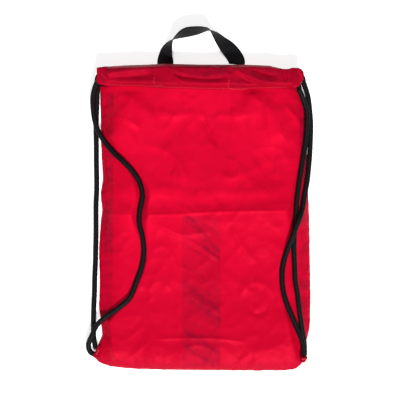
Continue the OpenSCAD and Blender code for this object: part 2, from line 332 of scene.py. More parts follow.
def finish_piece(piece, material, slot, body, *nodes):
    piece.data.materials.clear()
    piece.data.materials.append(material)
    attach(piece, body)
    if nodes:
        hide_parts(*nodes)
    return piece


def sew(name, pairs, width, colour, node):
    """A piece of stitches in the thread of that colour, in place of a node of the sack."""
    row = stitches(name, pairs, width)
    return finish_piece(row, material(f"{colour}_thread"), f"{colour}_thread", "sack", node)


def sizes():
    return bpy.context.scene.sack_sizes


def colours():
    return bpy.context.scene.sack_colours


# ---------------------------------------------------------------- shader sockets as numbers

class Wire:
    """A shader socket that adds Math nodes when it is used in an expression."""

    def __init__(self, nodes, socket):
        self.nodes = nodes
        self.socket = socket

    def math(self, operation, *values):
        return self.nodes.add("ShaderNodeMath", {"operation": operation}, dict(enumerate(values)))

    def __add__(self, other):
        return self.math("ADD", self, other)

    def __sub__(self, other):
        return self.math("SUBTRACT", self, other)

    def __rsub__(self, other):
        return self.math("SUBTRACT", other, self)

    def __mul__(self, other):
        return self.math("MULTIPLY", self, other)

    def sine(self):
        return self.math("SINE", self)

    def size(self):
        return self.math("ABSOLUTE", self)

    def clamped(self):
        return self.math("MINIMUM", self.math("MAXIMUM", self, 0.0), 1.0)

    def ramp(self, low, high):
        """0 below low, 1 above high, smooth between."""
        return self.nodes.add(
            "ShaderNodeMapRange", {"interpolation_type": "SMOOTHSTEP"},
            {"Value": self, "From Min": low, "From Max": high})


class Nodes:
    """The nodes of one material, with one method that adds any kind of node."""

    def __init__(self, name, roughness=0.6, **constants):
        self.material = bpy.data.materials.new(name)
        self.material.use_nodes = True
        self.tree = self.material.node_tree
        self.shader = self.tree.nodes["Principled BSDF"]
        self.shader.inputs["Roughness"].default_value = roughness
        for key, value in constants.items():
            self.shader.inputs[key.replace("_", " ")].default_value = value

    def add(self, kind, settings=None, values=None, output=0):
        node = self.tree.nodes.new(kind)
        for key, value in (settings or {}).items():
            setattr(node, key, value)
        for key, value in (values or {}).items():
            self.feed(node.inputs[key], value)
        return Wire(self, node.outputs[output])

    def feed(self, socket, value):
        if isinstance(value, Wire):
            self.tree.links.new(value.socket, socket)
        else:
            socket.default_value = value

    def place(self):
        return self.add("ShaderNodeTexCoord", output="Object")

    def parts(self, vector):
        """The x, y and z of a vector as three wires."""
        node = self.tree.nodes.new("ShaderNodeSeparateXYZ")
        self.tree.links.new(vector.socket, node.inputs[0])
        return tuple(Wire(self, output) for output in node.outputs)

    def noise(self, vector, scale, detail=2.0, roughness=0.5):
        return self.add(
            "ShaderNodeTexNoise", None,
            {"Vector": vector, "Scale": scale, "Detail": detail, "Roughness": roughness})

    def attribute(self, name):
        return self.add("ShaderNodeAttribute", {"attribute_name": name}, output="Fac")

    def uv(self):
        return self.add("ShaderNodeUVMap", {"uv_map": "UVMap"})

    def mix(self, amount, first, second):
        """A colour between two others."""
        node = self.tree.nodes.new("ShaderNodeMix")
        node.data_type = "RGBA"
        self.feed(node.inputs["Factor"], amount)
        self.feed(node.inputs[6], first)
        self.feed(node.inputs[7], second)
        return Wire(self, node.outputs[2])

    def bumps(self, *layers):
        """Bump layers, each a height, a strength and a distance, one over the other."""
        normal = None
        for height, strength, distance in layers:
            values = {"Height": height, "Strength": strength, "Distance": distance}
            if normal is not None:
                values["Normal"] = normal
            normal = self.add("ShaderNodeBump", None, values)
        self.feed(self.shader.inputs["Normal"], normal)

    def surface(self, colour=None, roughness=None):
        if colour is not None:
            self.feed(self.shader.inputs["Base Color"], colour)
        if roughness is not None:
            self.feed(self.shader.inputs["Roughness"], roughness)
        return self.material


def rgba(colour, gain=1.0):
    return (colour[0] * gain, colour[1] * gain, colour[2] * gain, 1.0)


def weave(nodes, place, pitch):
    """Height of a plain weave of threads a pitch apart, over and under, from 0 to 1."""
    x, y, _ = nodes.parts(place)
    across = (x * (math.pi / pitch)).sine()
    down = (y * (math.pi / pitch)).sine()
    checker = across * down
    return (checker.ramp(-1.0, 1.0) + across.size() * 0.5 + down.size() * 0.5) * 0.5


def nylon(name, gain=1.0):
    """Shiny woven nylon: a fine weave, soft crinkles, dull areas marked on the mesh that are partly
    print and partly painted shade, painted shade towards the bottom of the sack, and a gain below 1
    that paints a whole piece darker as shade.
    """
    nodes = Nodes(
        name, roughness=0.45, Specular_IOR_Level=0.40, Specular_Tint=(1.0, 0.02, 0.08, 1.0))
    place = nodes.place()
    dye = nodes.noise(place, 14.0, 3.0).ramp(0.35, 0.7)
    grain = nodes.noise(place, 900.0, 2.0)
    dull = nodes.attribute("dull")
    patchy = (dull * (nodes.noise(place, 120.0, 2.0).ramp(0.25, 0.7) * 0.45 + 0.55)).clamped()
    red = nodes.mix(dye, rgba(colours().nylon, gain), rgba(colours().nylon_deep_and_shade, gain))
    worn = nodes.mix((grain * 0.16).clamped(), red, rgba(colours().nylon_deep_and_shade, 0.8 * gain))
    # Painted shade: the red darkens from the middle of the sack down to its bottom, where the light
    # falls off.
    _, up, _ = nodes.parts(place)
    low = 1.0 - up.ramp(-0.290, 0.030)
    bottom_shaded_red = nodes.mix(low, worn, rgba(colours().nylon_deep_and_shade, 0.86 * gain))
    shade = nodes.mix(patchy, bottom_shaded_red, rgba(colours().tonal_print_and_shade, gain))
    nodes.bumps(
        (nodes.noise(place, 55.0, 3.0), 0.30, 0.0016),
        (nodes.noise(place, 260.0, 2.0), 0.22, 0.0005),
        (weave(nodes, place, 0.0006), 0.35, 0.00010))
    return nodes.surface(shade, grain * 0.10 + patchy * 0.16 + 0.42)


def braid(name):
    """Black braided polyester: filaments along each strand, with painted shade between the strands
    and the strand crests painted lighter.
    """
    nodes = Nodes(name, roughness=0.62, Specular_IOR_Level=0.10)
    turn, run, _ = nodes.parts(nodes.uv())
    strand = nodes.attribute("strand")
    fine = ((turn * 90.0 + run * 55.0).sine() * 0.5 + 0.5) * 0.5 + nodes.noise(
        nodes.place(), 1400.0, 2.0) * 0.5
    # Painted shade and highlight: the cord is darker in the gaps between strands and lighter on the
    # strands' crests.
    shade = nodes.mix(
        (strand * 0.75 + fine * 0.25).clamped(),
        rgba(colours().cord, 0.25), rgba(colours().cord, 2.6))
    nodes.bumps((fine, 0.5, 0.00025))
    return nodes.surface(shade, fine * 0.12 + 0.52)


def webbing(name):
    """Flat woven webbing: ribs across it, slanted yarns along it and a firm selvedge, with painted
    shade in the weave's hollows and its ribs painted lighter.
    """
    nodes = Nodes(name, roughness=0.65, Specular_IOR_Level=0.12)
    across, run, _ = nodes.parts(nodes.uv())
    rib = ((run * (2 * math.pi / 0.0016)).sine() * 0.5 + 0.5)
    warp = ((across * (2 * math.pi / 0.0022) + rib * 1.4).sine() * 0.5 + 0.5)
    height = rib * 0.45 + warp * 0.55
    selvedge = (across.size() - WEB_W * 0.5 * 0.86).ramp(0.0, 0.0006)
    # Painted shade and highlight: the black is darker in the hollows of the weave and lighter on
    # its ribs.
    tone = (height * 0.8 + nodes.noise(nodes.place(), 300.0) * 0.2 - selvedge * 0.2).clamped()
    shade = nodes.mix(tone, rgba(colours().webbing, 0.35), rgba(colours().webbing, 2.2))
    nodes.bumps((height, 0.65, 0.00045))
    return nodes.surface(shade, 0.72 - height * 0.16)


def thread(name, colour):
    """Twisted polyester sewing thread, with painted shade in the grooves of its twist and its plies
    painted lighter.
    """
    nodes = Nodes(name, roughness=0.5, Specular_IOR_Level=0.2)
    place = nodes.place()
    x, y, _ = nodes.parts(place)
    twist = ((x + y) * (2 * math.pi / 0.0006)).sine() * 0.5 + 0.5
    fray = nodes.noise(place, 1500.0, 2.0)
    # Painted shade and highlight: darker in the grooves of the twist, lighter on its plies.
    shade = nodes.mix((twist * 0.7 + fray * 0.3).clamped(), rgba(colour, 0.6), rgba(colour, 1.25))
    nodes.bumps((twist, 0.5, 0.0001))
    return nodes.surface(shade, fray * 0.15 + 0.42)


def floor_paint(name):
    """Even pale paper with a trace of tooth."""
    nodes = Nodes(name, roughness=0.9, Specular_IOR_Level=0.1)
    tooth = nodes.noise(nodes.place(), 60.0, 2.0)
    shade = nodes.mix(tooth * 0.03, rgba(colours().floor), rgba(colours().floor, 0.97))
    nodes.shader.inputs["Emission Color"].default_value = (1.0, 1.0, 1.0, 1.0)
    nodes.shader.inputs["Emission Strength"].default_value = FLOOR_GLOW
    return nodes.surface(shade, tooth * 0.05 + 0.85)


def material(name):
    """The material of that name, made the first time it is asked for."""
    makers = {
        "nylon_panel": nylon,
        # Painted shade: the hems and corner tabs are the panels' nylon made a third darker.
        "nylon_hem_shaded": lambda n: nylon(n, 0.67),
        "cord_braid": braid,
        "handle_webbing": webbing,
        "red_thread": lambda n: thread(n, colours().thread),
        "black_thread": lambda n: thread(n, [3 * c for c in colours().cord]),
        "floor_paper": floor_paint,
    }
    return bpy.data.materials.get(name) or makers[name](name)


# ---------------------------------------------------------------- cords

def route_in_metres(name):
    return spline(CORD_ROUTES[name], 2.0) * MM


def turn_out(x, y, z, side, leaving):
    """Quarter turn of a cord from its tunnel to the hem's end, or back, in millimetres."""
    angles = np.radians(np.linspace(0, 90, 7) if leaving else np.linspace(90, 0, 7))
    return [(x + side * BEND * math.sin(a), y - BEND + BEND * math.cos(a), z) for a in angles]


def bight(x, side):
    """Half turn of a cord from the front tunnel down to the back one, in millimetres."""
    turn = math.hypot(UPPER_RUN - LOWER_RUN, FRONT_RUN_Z - BACK_RUN_Z) / 2
    angles = np.radians(np.linspace(0, 180, 11))
    return [
        (x + side * turn * math.sin(a),
         (UPPER_RUN + LOWER_RUN + side * (UPPER_RUN - LOWER_RUN) * math.cos(a)) / 2,
         (FRONT_RUN_Z + BACK_RUN_Z + (FRONT_RUN_Z - BACK_RUN_Z) * math.cos(a)) / 2)
        for a in angles
    ]


def tunnel_route(side):
    """The hidden run of one cord, from its front leg through both tunnels to its back leg."""
    if side == "left":
        front = turn_out(-150.0, UPPER_RUN, FRONT_RUN_Z, -1, True)[::-1]
        back = turn_out(-151.5, LOWER_RUN, BACK_RUN_Z, -1, True)
        middle = bight(140.5, 1)
    else:
        front = turn_out(139.0, LOWER_RUN, FRONT_RUN_Z, 1, True)[::-1]
        back = turn_out(147.0, UPPER_RUN, BACK_RUN_Z, 1, True)
        middle = bight(-143.5, -1)
    starts = [CORD_ROUTES[f"{side}_{leg}"][0] for leg in ("front", "back")]
    run = [starts[0]] + front
    run += [lerp_point(front[-1], middle[0], t) for t in (0.25, 0.5, 0.75)]
    run += middle
    run += [lerp_point(middle[-1], back[0], t) for t in (0.25, 0.5, 0.75)]
    return run + back + [starts[1]]


def lerp_point(a, b, t):
    return tuple(p + (q - p) * t for p, q in zip(a, b))


def braided_tube(name, route):
    """A tube of crossed strands along a route in metres, with closed ends."""
    size = sizes()
    radius = size.cord_diameter / 2
    sides = 20
    points = spline(route, size.strand_pitch / size.rings_per_strand)
    _, side, up = frames_along(points)
    run = np.concatenate([[0], np.cumsum(np.linalg.norm(np.diff(points, axis=0), axis=1))])
    turn = np.linspace(0, 2 * math.pi, sides, endpoint=False)
    angle, length = np.meshgrid(turn, run)
    carriers = 5
    wave = 2 * math.pi * length / (size.strand_pitch * 2)
    right = np.cos(carriers * angle + wave) * 0.5 + 0.5
    left = np.cos(carriers * angle - wave) * 0.5 + 0.5
    strand = np.maximum(right, left) ** 0.7
    r = radius - size.strand_relief * (1 - strand)
    body = (
        points[:, None, :] + np.cos(angle)[..., None] * r[..., None] * side[:, None, :]
        + np.sin(angle)[..., None] * r[..., None] * up[:, None, :])
    verts = body.reshape(-1, 3)
    faces = [f[::-1] for f in grid_faces(len(points), sides, closed=True)]
    uvs = np.column_stack([angle.ravel() / (2 * math.pi), length.ravel() / (2 * math.pi * radius)])
    ends = np.vstack([points[0], points[-1]])
    first, last = len(verts), len(verts) + 1
    top = (len(points) - 1) * sides
    for j in range(sides):
        faces.append((first, (j + 1) % sides, j)[::-1])
        faces.append((last, top + j, top + (j + 1) % sides)[::-1])
    piece = mesh_piece(
        name, np.vstack([verts, ends]), faces, np.vstack([uvs, [[0, 0], [0, 1]]]))
    point_attribute(piece, "strand", np.concatenate([strand.ravel(), [0.5, 0.5]]))
    outward(piece)
    return piece


def outward(piece):
    """Turns the faces of a closed piece outwards."""
    form = bmesh.new()
    form.from_mesh(piece.data)
    bmesh.ops.recalc_face_normals(form, faces=form.faces)
    if form.calc_volume(signed=True) < 0:
        bmesh.ops.reverse_faces(form, faces=form.faces)
    form.to_mesh(piece.data)
    form.free()


# ---------------------------------------------------------------- webbing

def webbing_strip(name, stations):
    """A flat strap through stations of x, y, roll and lift in millimetres and degrees."""
    dense = spline(stations, 2.0)
    plan = np.column_stack([dense[:, :2], np.zeros(len(dense))])
    t = np.gradient(plan, axis=0)
    t /= np.linalg.norm(t, axis=1)[:, None]
    inward = np.cross(t, [0, 0, 1])
    roll = np.radians(dense[:, 2])[:, None]
    across = np.cos(roll) * inward + np.sin(roll) * np.array([0, 0, 1])
    through = np.cross(across, t)
    width, thick = WEB_W / MM, WEB_T / MM
    lift = (width * np.abs(np.sin(roll)) + thick * np.abs(np.cos(roll))) / 2 + dense[:, 3:4]
    centre = plan + lift * np.array([0, 0, 1])
    run = np.concatenate([[0], np.cumsum(np.linalg.norm(np.diff(plan, axis=0), axis=1))])
    steps, cup = np.linspace(-1, 1, 13), 0.5
    section = [(c, -1) for c in steps] + [(c, 1) for c in steps[::-1]]
    points, uvs = [], []
    bend = np.abs(np.gradient(roll[:, 0]))[:, None] * cup
    for i in range(len(dense)):
        for c, face in section:
            edge = 1 - 0.45 * max(0.0, abs(c) - 0.86) / 0.14
            rib = 1 + 0.05 * math.sin(run[i] * 1.6)
            offset = face * thick / 2 * edge * rib + bend[i, 0] * (1 - c * c) * 6
            points.append(centre[i] + across[i] * c * width / 2 + through[i] * offset)
            uvs.append((c * width / 2 * MM, run[i] * MM))
    ring = len(section)
    piece = mesh_piece(
        name, np.array(points) * MM, tube_faces(len(dense), ring), np.array(uvs))
    outward(piece)
    return piece


LOOP_STATIONS = [
    (-57, 210.8, 0, 0), (-57, 217, 12, 0), (-56.5, 224, 30, 0), (-54, 235, 48, 0),
    (-48.5, 245, 72, 0), (-39.5, 252.5, 95, 0), (-25, 259.5, 116, 0), (-8, 262.5, 112, 0),
    (3, 264, 100, 0), (11, 264, 88, 0), (20, 258, 66, 0), (31, 246, 42, 0), (41, 236, 18, 0),
    (49, 227, 8, 0), (55, 217, 3, 0), (55, 210.8, 0, 0),
]


# ---------------------------------------------------------------- stitches

def stitch_run(line, length, pitch):
    """Pairs of end points of stitches along a line of points in metres."""
    line = np.asarray(line, float)
    run = np.concatenate([[0], np.cumsum(np.linalg.norm(np.diff(line, axis=0), axis=1))])
    starts = np.arange(pitch / 2, run[-1] - length, pitch)
    at = lambda s: np.column_stack([np.interp(s, run, line[:, k]) for k in range(3)])
    return list(zip(at(starts), at(starts + length)))


def stitches(name, pairs, width):
    """One piece of small threads, each sunk at both ends and arched between them."""
    shape = [(-0.5, 0.35), (-0.32, 0.85), (0.0, 1.0), (0.32, 0.85), (0.5, 0.35)]
    ring = [(math.cos(a), math.sin(a)) for a in np.radians([0, 60, 120, 180, 240, 300])]
    points, faces = [], []
    for start, end in pairs:
        middle, step = (start + end) / 2, end - start
        length = np.linalg.norm(step)
        t = step / length
        side = np.cross(t, [0, 0, 1])
        side /= np.linalg.norm(side)
        up = np.cross(side, t)
        first = len(points)
        for place, fat in shape:
            for c, s in ring:
                points.append(
                    middle + t * place * length + side * c * width / 2 * fat
                    + up * (s * width / 2 * fat + (fat - 0.6) * width * 0.4))
        last = first + (len(shape) - 1) * 6
        faces += [tuple(first + i for i in f) for f in grid_faces(len(shape), 6, closed=True)]
        faces.append(tuple(first + j for j in range(6))[::-1])
        faces.append(tuple(last + j for j in range(6)))
    piece = mesh_piece(name, points, faces)
    outward(piece)
    return piece


# ---------------------------------------------------------------- the lie of the cloth

# Folds of the front cloth: points of the crest, height, reach on its left side and on its right
# side as the points run, and how sharp the crest is, all in millimetres. A valley is negative.
FOLDS = [
    # the crease from storage, and the soft roll above it
    ([(-190, -23), (-66, -24), (13, -20), (60, -18.5), (190, -16)], 6.6, 15, 34, 1.6),
    ([(-190, -23.6), (-66, -24.6), (13, -20.6), (60, -19.1), (190, -16.6)], 1.3, 1.6, 2.6, 1.2),
    ([(-190, 10), (-100, 16), (-45, 13), (-10, 8), (20, 11), (60, 10), (110, 16), (190, 22)],
     6.0, 30, 62, 1.4),
    ([(-150, 6), (-80, 9), (-45, 6), (-15, 3), (10, 5), (30, 9), (60, 8), (95, 10), (150, 14)],
     2.4, 14, 9, 1.8),
    # slack that runs down from the upper left shoulder
    ([(-100, 92), (-84, 83), (-69, 79), (-53, 71), (-40, 60), (-28, 40), (-10, 27)],
     2.6, 12, 6, 1.4),
    ([(-128, 128), (-116, 121), (-105, 116), (-92, 107)], 2.2, 9, 5, 1.4),
    ([(-50, 42), (-34, 33), (-20, 31)], 1.6, 7, 5, 1.6),
    ([(20, 40), (38, 33), (58, 36), (84, 47), (104, 58), (116, 66)], 2.0, 12, 7, 1.6),
    # shoulders under the ends of the hem
    ([(-88, 172), (-104, 158), (-120, 138), (-132, 112), (-140, 70)], 7.0, 36, 15, 1.7),
    ([(58, 172), (80, 158), (100, 140), (118, 116), (132, 76)], 7.0, 16, 36, 1.7),
    ([(128, 148), (144, 130), (160, 111)], 2.6, 5, 5, 1.2),
    ([(122, 72), (118, 50), (117, 28)], 2.0, 8, 6, 1.4),
    # gathers that hang from the stitch line
    ([(-72, 140), (-62, 133), (-39, 129), (-8, 134)], 1.8, 10, 6, 1.6),
    ([(18, 131), (50, 128), (90, 134)], 1.8, 10, 6, 1.6),
    ([(-32, 168), (-27, 152), (-20, 140)], 1.3, 4, 4, 1.3),
    ([(44, 168), (50, 140), (48, 92)], 1.5, 8, 5, 1.5),
    ([(106, 160), (103, 120), (112, 84)], 1.3, 8, 5, 1.5),
    ([(76, 166), (84, 154), (94, 146)], 1.8, 4, 4, 1.3),
    ([(-3, 127), (7, 115), (17, 95), (26, 79)], -2.6, 2.5, 5, 1.2),
    # lower half
    ([(-84, -34), (-56, -46), (-30, -56), (6, -52), (26, -50)], 2.6, 10, 5, 1.4),
    ([(-30, -58), (-4, -74), (30, -96)], 1.6, 3.5, 5, 1.2),
    ([(-30, -66), (0, -84), (30, -104)], -1.2, 3, 3, 1.2),
    ([(44, -40), (60, -70), (84, -104)], 2.0, 9, 6, 1.4),
    ([(-80, -88), (-70, -76), (-56, -76), (-46, -90), (-46, -104)], 1.7, 6, 6, 1.5),
    ([(-84, -150), (-74, -130), (-60, -130), (-48, -146)], 1.8, 6, 7, 1.5),
    ([(-30, -146), (0, -162), (30, -182)], 2.0, 7, 4, 1.3),
    ([(58, -164), (66, -140), (84, -130), (104, -138), (112, -158)], 1.9, 7, 6, 1.5),
    ([(70, -170), (86, -180), (106, -172)], -1.4, 6, 5, 1.6),
    ([(-84, -218), (-20, -217), (28, -218), (74, -224)], 2.2, 4, 4, 1.1),
    ([(-30, -232), (0, -229), (30, -244)], 1.6, 6, 4, 1.3),
    ([(-152, -160), (-146, -189), (-141, -222), (-136, -262)], 4.6, 14, 4, 1.1),
    ([(-158, -214), (-148, -218), (-140, -216)], -1.6, 3, 3, 1.2),
    ([(131, -168), (133, -188), (141, -222), (153, -259)], 3.4, 5, 13, 1.3),
]

# Folds of the front hem, in the same form
HEM_FOLDS = [
    # slack that hangs in a crescent between the handle's feet
    ([(-60, 208), (-50, 200), (-40, 193), (-20, 188.5), (7, 186), (33, 187.5), (50, 194)],
     -3.0, 2.4, 3.6, 1.3),
    ([(-56, 194), (-30, 182), (5, 178.5), (50, 180), (70, 177)], 1.8, 5, 6, 1.8),
    ([(-52, 206), (-44, 195), (-34, 184), (-26, 178)], 2.4, 2.6, 3, 1.2),
    ([(-44, 207), (-36, 198), (-20, 190)], 1.8, 2.2, 3, 1.2),
    # the long ridge that climbs from the left end, with a hollow under it
    ([(-164, 191), (-130, 196), (-100, 200), (-72, 206)], 3.4, 6, 4, 1.2),
    ([(-150, 187), (-120, 189), (-90, 191), (-70, 196)], -2.6, 4, 5, 1.3),
    ([(-146, 178), (-110, 179), (-76, 181), (-58, 178)], 1.6, 5, 5, 1.8),
    # slanting folds at the right, with a hollow above the long one
    ([(18, 207), (26, 198), (34, 190)], 1.8, 2.4, 3, 1.2),
    ([(28, 206), (36, 197), (46, 188)], 1.8, 2.4, 3, 1.2),
    ([(24, 208), (44, 203), (60, 195), (84, 185), (104, 180), (124, 180)], 3.8, 5, 3.5, 1.2),
    ([(56, 190), (72, 182), (92, 175), (118, 172)], -2.6, 3, 3, 1.3),
    ([(66, 206), (86, 197), (108, 191), (124, 190)], -2.6, 5, 4, 1.3),
    ([(129, 210), (128, 196), (131, 178)], -3.0, 3, 3, 1.2),
]


def crest(x, y, line, height, left, right, sharp):
    """Height of one fold over each point, fading out at its two ends."""
    dense = spline(line, 4.0)
    start, step = dense[:-1], np.diff(dense, axis=0)
    span = np.linalg.norm(step, axis=1)
    unit = step / span[:, None]
    near = np.full(x.shape, 1e9)
    gap = np.zeros(x.shape)
    share = np.zeros(x.shape)
    for i, ((px, py), (ux, uy)) in enumerate(zip(start, unit)):
        t = np.clip((x - px) * ux + (y - py) * uy, 0, span[i])
        dx, dy = x - px - t * ux, y - py - t * uy
        distance = np.hypot(dx, dy)
        closer = distance < near
        near = np.where(closer, distance, near)
        side = np.sign(ux * dy - uy * dx)
        gap = np.where(closer, side * distance, gap)
        share = np.where(closer, (i + t / span[i]) / len(span), share)
    reach = np.where(gap > 0, left, right)
    fade = smooth_step(share / 0.25) * smooth_step((1 - share) / 0.25)
    return height * fade * np.exp(-(near / reach) ** sharp)


def folded(x, y, folds):
    total = np.zeros(x.shape)
    for fold in folds:
        total += crest(x, y, *fold)
    return total


def creased(x, y, size, seed):
    """Noise of flat facets that meet in crisp ridges."""
    return 0.5 - np.sqrt(soft_noise(x, y, size, seed) ** 2 + 0.0009)


def under_cords(x, y, z, names, gap=0.35):
    """Presses a surface down so that each cord lies in it."""
    radius = sizes().cord_diameter / MM / 2 + gap
    for name in names:
        route = spline(CORD_ROUTES[name], 2.0)
        near = np.full(x.shape, 1e9)
        height = np.zeros(x.shape)
        for px, py, pz in route:
            distance = np.hypot(x - px, y - py)
            closer = distance < near
            near = np.where(closer, distance, near)
            height = np.where(closer, pz, height)
        inside = near < radius * math.sqrt(0.5)
        cup = height - np.sqrt(np.maximum(radius ** 2 - near ** 2, 0))
        wall = height - math.sqrt(2) * radius + near
        z = smooth_min(z, np.where(inside, cup, wall), 1.2)
    return z


def seam_gathers(x, y, gap, seed):
    """Small irregular gathers that fade away from a seam."""
    wave = soft_noise(x * 0.25, y, 7.0, seed) + 0.5 * soft_noise(x * 0.5, y, 3.4, seed + 1)
    return sizes().pucker / MM * wave * np.exp(-np.maximum(gap, 0) / 13.0)


def front_height(x, y):
    """Height of the front cloth over the floor, in millimetres."""
    size = sizes()
    left = x - along(LEFT_SIDE, y)
    right = along(RIGHT_SIDE, y) - x
    low = y - along(BOTTOM, x)
    reach = size.puff_width / MM
    rise = np.ones(x.shape)
    for gap, width in ((left, reach), (right, reach), (low, reach * 0.8)):
        t = np.clip(gap / width, 0, 1)
        rise *= (1 - (1 - t) ** 2.2) ** 0.75
    share = (y + 270) / 442
    crown = size.puff / MM * (1 - share) * 0.93 + (HEM_LOW / MM + 1.0) * share
    z = 2.0 + (crown - 2.0) * rise
    free = smooth_step(np.minimum(np.minimum(left, right), low) / 16)
    level = smooth_step((HEM_Y / MM + 2 - y) / 14)
    slack = 2.4 * creased(x, y, 52, 5) + 1.5 * creased(x + y, y - x, 30, 6)
    slack += 0.25 * soft_noise(x, y, 8.5, 7)
    z += free * (folded(x, y, FOLDS) * (0.35 + 0.65 * level) + slack * level)
    for gap, seed in ((left, 21), (right, 23)):
        z += seam_gathers(x, y, gap, seed) * smooth_step(gap / 5)
    z += seam_gathers(y, x, low, 25) * 0.6 * smooth_step(low / 5)
    near_hem = np.exp(-np.maximum(HEM_Y / MM - y, 0) / 9.0)
    z += 0.6 * soft_noise(x, y * 0.2, 6.0, 27) * near_hem * level
    z = under_cords(x, y, z, ("left_front", "right_front", "right_back"))
    return np.maximum(z, 1.4)


def band(value, low, high, soft=1.0):
    return smooth_step((value - low) / soft + 0.5) * smooth_step((high - value) / soft + 0.5)


# The middle band of the print, in millimetres, and its slanting stripes: slope in degrees, pitch
BAND_X = (-31, 29.5)
BAND_Y = (-262, -26)
STRIPE_SLOPE = 34.5
STRIPE_PITCH = 16.2

# Faded patches of the middle band: place along X, height at X = 0, reaches and strength
FADED = [
    (-12, -48, 20, 9, 0.8), (16, -70, 18, 10, 0.9), (4, -158, 34, 17, 0.9),
    (14, -176, 18, 8, 0.5), (4, -226, 34, 7, 0.9), (-4, -244, 30, 7, 0.8),
]


def printed_and_shaded(x, y):
    """How dull the front cloth is, 0 to 1: a striped band of print down the middle, one at each
    side, and painted shade along the bottom seam.
    """
    slant = math.tan(math.radians(STRIPE_SLOPE))
    fall = y + slant * x
    wander = 0.35 * soft_noise(x, y, 21, 31) + 0.12 * soft_noise(x, y, 7, 32)
    stripe = smooth_step(0.62 - 0.62 * np.cos(2 * math.pi * (fall / STRIPE_PITCH + wander)))
    worn = smooth_step(0.8 * soft_noise(x * 0.6, fall, 12, 33) + 0.5)
    deep = np.zeros(x.shape)
    for centre_x, centre_fall, wide, tall, amount in FADED:
        across = (x - centre_x) / wide
        deep += amount * np.exp(-across ** 4 - ((fall - centre_fall) / tall) ** 4)
    middle = band(x, *BAND_X, 1.6) * band(y, *BAND_Y, 4)
    total = middle * (0.30 + 0.26 * stripe * worn + deep * (0.35 + 0.45 * stripe))
    drift = (y - 160) / 345 * 2.5
    broken = smooth_step(0.9 * soft_noise(x, y, 15, 35) + 0.55)
    left = band(x - drift, -150, -137, 3) * band(y, -190, 166, 8)
    right = band(x, 153, 168, 3) * band(y, -196, 158, 8)
    total += (left * 0.8 + right * 0.85) * (0.35 + 0.65 * broken)
    # Painted shade: a dull strip along the bottom seam.
    total += 0.45 * smooth_step((along(BOTTOM, x) + 26 - y) / 26)
    return np.clip(total, 0, 1)


def sack_grid(columns, rows, top):
    """Points that fill the outline of the sack from its bottom edge up to top, in millimetres."""
    u, v = np.meshgrid(np.linspace(0, 1, columns), np.linspace(0, 1, rows))
    x = -160 + 325 * u
    y = -268 + 440 * v
    for _ in range(14):
        y = along(BOTTOM, x) * (1 - v) + top * v
        x = along(LEFT_SIDE, y) * (1 - u) + along(RIGHT_SIDE, y) * u
    return x, y


def sheet_from(name, x, y, z):
    points = np.column_stack([x.ravel(), y.ravel(), z.ravel()]) * MM
    return mesh_piece(name, points, grid_faces(*x.shape), points[:, :2])


# ---------------------------------------------------------------- hems

def hem_profile(y, lower, upper):
    """Share of the hem's height across its outer side: banks at the edges, level over the cords."""
    rise = np.sin(np.clip((y - lower) / 9.5, 0, 1) * math.pi / 2) ** 0.9
    fall_width = np.clip(upper - UPPER_RUN - 4.8, 0.8, 8.0)
    fall = np.clip((upper - y) / fall_width, 0, 1)
    return rise * (0.12 + 0.88 * np.sin(fall * math.pi / 2) ** 0.8)


def over_runs(y, z):
    """Keeps the hem's outer side clear of the two cords in its tunnel."""
    radius = sizes().cord_diameter / MM / 2 + 0.45
    for run in (UPPER_RUN, LOWER_RUN):
        aside = np.abs(y - run)
        cover = FRONT_RUN_Z + np.sqrt(np.maximum(radius ** 2 - aside ** 2, 0))
        z = np.where(aside < radius, np.maximum(z, cover), z)
    return z


def front_hem_mesh(name):
    """The front tunnel: outer side, upper edge and the side towards the mouth."""
    columns, across, under = 190, 34, 12
    x = np.linspace(-162.5, 157.5, columns)
    upper, lower = along(HEM_UPPER, x), along(HEM_LOWER, x)
    open_end = np.maximum(smooth_step((-142 - x) / 8), smooth_step((x - 134) / 8))
    t = (0.5 - 0.5 * np.cos(np.linspace(0, math.pi, across)))[:, None]
    y = lower + (upper - lower) * t
    xx = np.broadcast_to(x, y.shape).copy()
    low, high = HEM_LOW / MM, HEM_TOP / MM
    base = low + 1.0 + (high - 0.3 - low - 1.0) * open_end
    z = hem_profile(y, lower, upper) * (high + 0.35 - base) + base
    lift = folded(xx, y, HEM_FOLDS)
    lift += 0.9 * creased(xx, y, 20, 41) + 0.3 * soft_noise(xx, y, 6, 43)
    lift += 0.5 * soft_noise(xx, y * 0.3, 5, 45) * np.exp(-np.abs(y - lower) / 7)
    inner = smooth_step(t / 0.12) * smooth_step((1 - t) / 0.15) * (1 - open_end * 0.6)
    z = over_runs(y, z + (lift + HEM_SLACK) * inner)
    xx += 0.7 * soft_noise(y, xx * 0, 9, 47) * np.exp(-np.minimum(xx + 162.5, 157.5 - xx) / 6)
    s = np.linspace(0, 1, under + 1)[1:, None]
    back_y = upper - (upper - lower - 1.0) * s
    back_z = low + 0.3 + 1.4 * (1 - smooth_step(s / 0.12)) + 0.5 * smooth_step((s - 0.9) / 0.1)
    back_z = np.broadcast_to(back_z, back_y.shape)
    rows_y = np.vstack([y, back_y])
    rows_z = np.vstack([z, back_z])
    rows_x = np.vstack([xx, np.broadcast_to(x, back_y.shape)])
    return hem_piece(name, rows_x, rows_y, rows_z, across, TUNNEL_SHUT)


